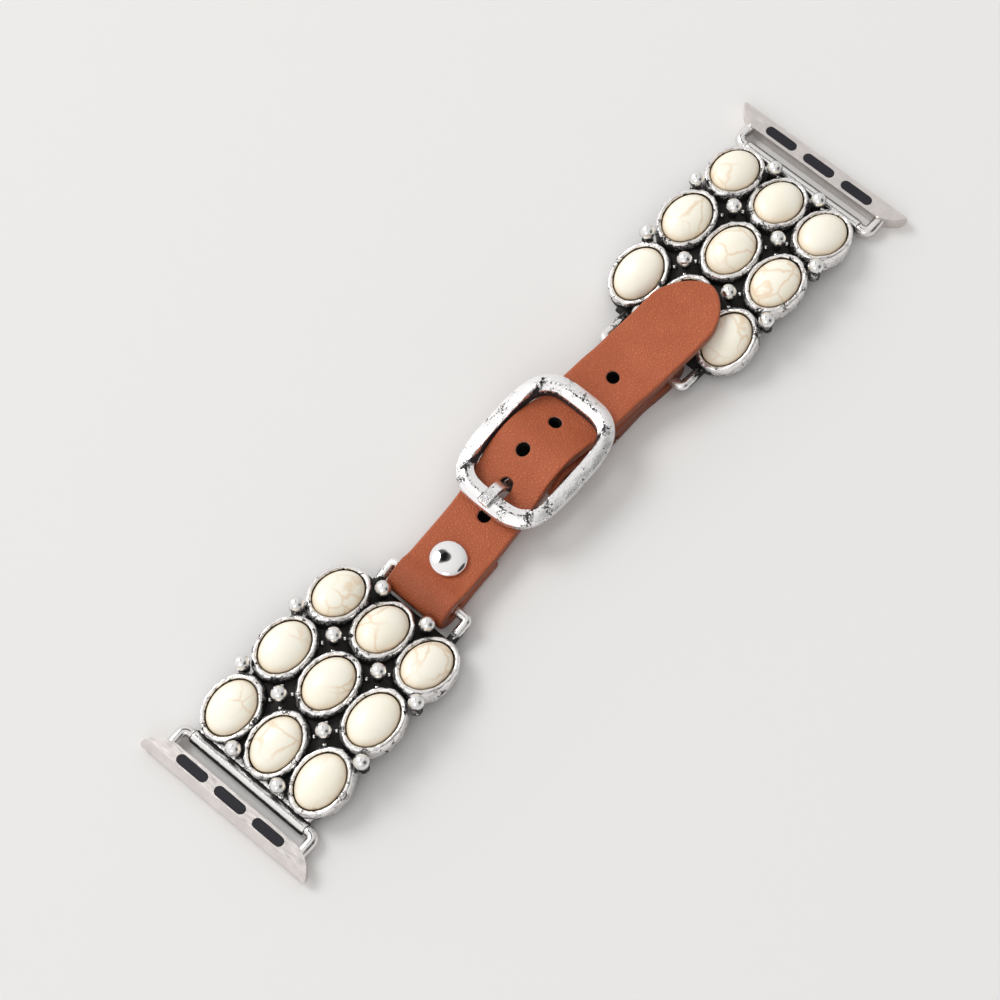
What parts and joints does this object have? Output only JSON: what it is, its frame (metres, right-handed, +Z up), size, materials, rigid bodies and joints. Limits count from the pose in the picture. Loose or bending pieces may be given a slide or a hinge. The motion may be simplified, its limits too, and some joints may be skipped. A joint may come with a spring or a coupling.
{
  "type": "watch band",
  "caption": "Watch band with arched cast panels set with oval stones, slide-in adapters, and a riveted leather strap closed by a centre-bar buckle.",
  "frame": {"origin": "centre of the band's footprint at the floor it lies on", "axes": "+X along the band towards the adapter on the buckle side's free strap tip, +Y across the band, +Z up from the floor, out of the stone side"},
  "size_m": [0.1228, 0.0284, 0.008],
  "materials": {
    "leather": "saddle brown, fine pebble grain, semi-matt",
    "leather_under": "saddle brown, semi-matt",
    "antique_silver": "cast zinc alloy plated antique silver, dark in the recesses",
    "buckle_silver": "cast zinc alloy plated bright silver, dark specks in the creases",
    "howlite": "opaque cream howlite with fine tan veins, polished",
    "steel_satin": "satin stainless steel",
    "steel_bright": "polished steel wire",
    "rivet_chrome": "mirror bright",
    "black_insert": "black, semi-gloss",
    "spring_steel": "plain"
  },
  "bodies": {
    "long_strap": {"long_strap": "leather", "strap_rivet_cap": "rivet_chrome", "strap_rivet_base": "steel_satin"},
    "short_strap": {"short_strap": "leather_under", "flat_rivet_caps": "steel_satin", "flat_rivet_bases": "steel_satin"},
    "buckle": {"buckle_frame": "buckle_silver"},
    "prong": {"buckle_prong": "buckle_silver"},
    "left_panel": {"left_panel_casting": "antique_silver", "left_stone_1": "howlite", "left_stone_2": "howlite", "left_stone_3": "howlite", "left_stone_4": "howlite", "left_stone_5": "howlite", "left_stone_6": "howlite", "left_stone_7": "howlite", "left_stone_8": "howlite", "left_stone_9": "howlite"},
    "left_adapter": {"left_adapter_body": "steel_satin", "left_adapter_lugs": "steel_bright", "left_adapter_inserts": "black_insert", "left_hinge_pin": "steel_satin", "left_lock_spring": "spring_steel", "left_lock_cover": "steel_satin"},
    "left_lock": {"left_lock_button": "black_insert"},
    "right_panel": {"right_panel_casting": "antique_silver", "right_stone_1": "howlite", "right_stone_2": "howlite", "right_stone_3": "howlite", "right_stone_4": "howlite", "right_stone_5": "howlite", "right_stone_6": "howlite", "right_stone_7": "howlite", "right_stone_8": "howlite", "right_stone_9": "howlite"},
    "right_adapter": {"right_adapter_body": "steel_satin", "right_adapter_lugs": "steel_bright", "right_adapter_inserts": "black_insert", "right_hinge_pin": "steel_satin", "right_lock_spring": "spring_steel", "right_lock_cover": "steel_satin"},
    "right_lock": {"right_lock_button": "black_insert"}
  },
  "joints": [
    {"name": "short_strap_play", "type": "slide", "parent": "long_strap", "child": "short_strap", "axis": [1, 0, 0], "range_m": [-0.0001, 0.0001]},
    {"name": "buckle_rock", "type": "hinge", "parent": "short_strap", "child": "buckle", "pos_m": [0.0011, 0.00075, 0.00255], "axis": [0, 1, 0], "range_deg": [-1, 1]},
    {"name": "prong_lift", "type": "hinge", "parent": "buckle", "child": "prong", "pos_m": [0.0011, 0.0009, 0.00255], "axis": [0, 1, 0], "range_deg": [0, 1.5]},
    {"name": "left_panel_hinge", "type": "hinge", "parent": "long_strap", "child": "left_panel", "pos_m": [-0.0217, 0, 0.00248], "axis": [0, -1, 0], "range_deg": [-8, 45]},
    {"name": "right_panel_hinge", "type": "hinge", "parent": "short_strap", "child": "right_panel", "pos_m": [0.0217, 0, 0.00248], "axis": [0, 1, 0], "range_deg": [0, 45]},
    {"name": "left_adapter_hinge", "type": "hinge", "parent": "left_panel", "child": "left_adapter", "pos_m": [-0.056, 0, 0.00125], "axis": [0, -1, 0], "range_deg": [-30, 60]},
    {"name": "right_adapter_hinge", "type": "hinge", "parent": "right_panel", "child": "right_adapter", "pos_m": [0.056, 0, 0.00125], "axis": [0, 1, 0], "range_deg": [-30, 60]},
    {"name": "left_lock_press", "type": "slide", "parent": "left_adapter", "child": "left_lock", "axis": [0, 0, -1], "range_m": [0, 0.0004], "stiffness_N_per_m": 700, "springref_m": -0.0002, "deforming": ["left_lock_spring"]},
    {"name": "right_lock_press", "type": "slide", "parent": "right_adapter", "child": "right_lock", "axis": [0, 0, -1], "range_m": [0, 0.0004], "stiffness_N_per_m": 700, "springref_m": -0.0002, "deforming": ["right_lock_spring"]}
  ]
}
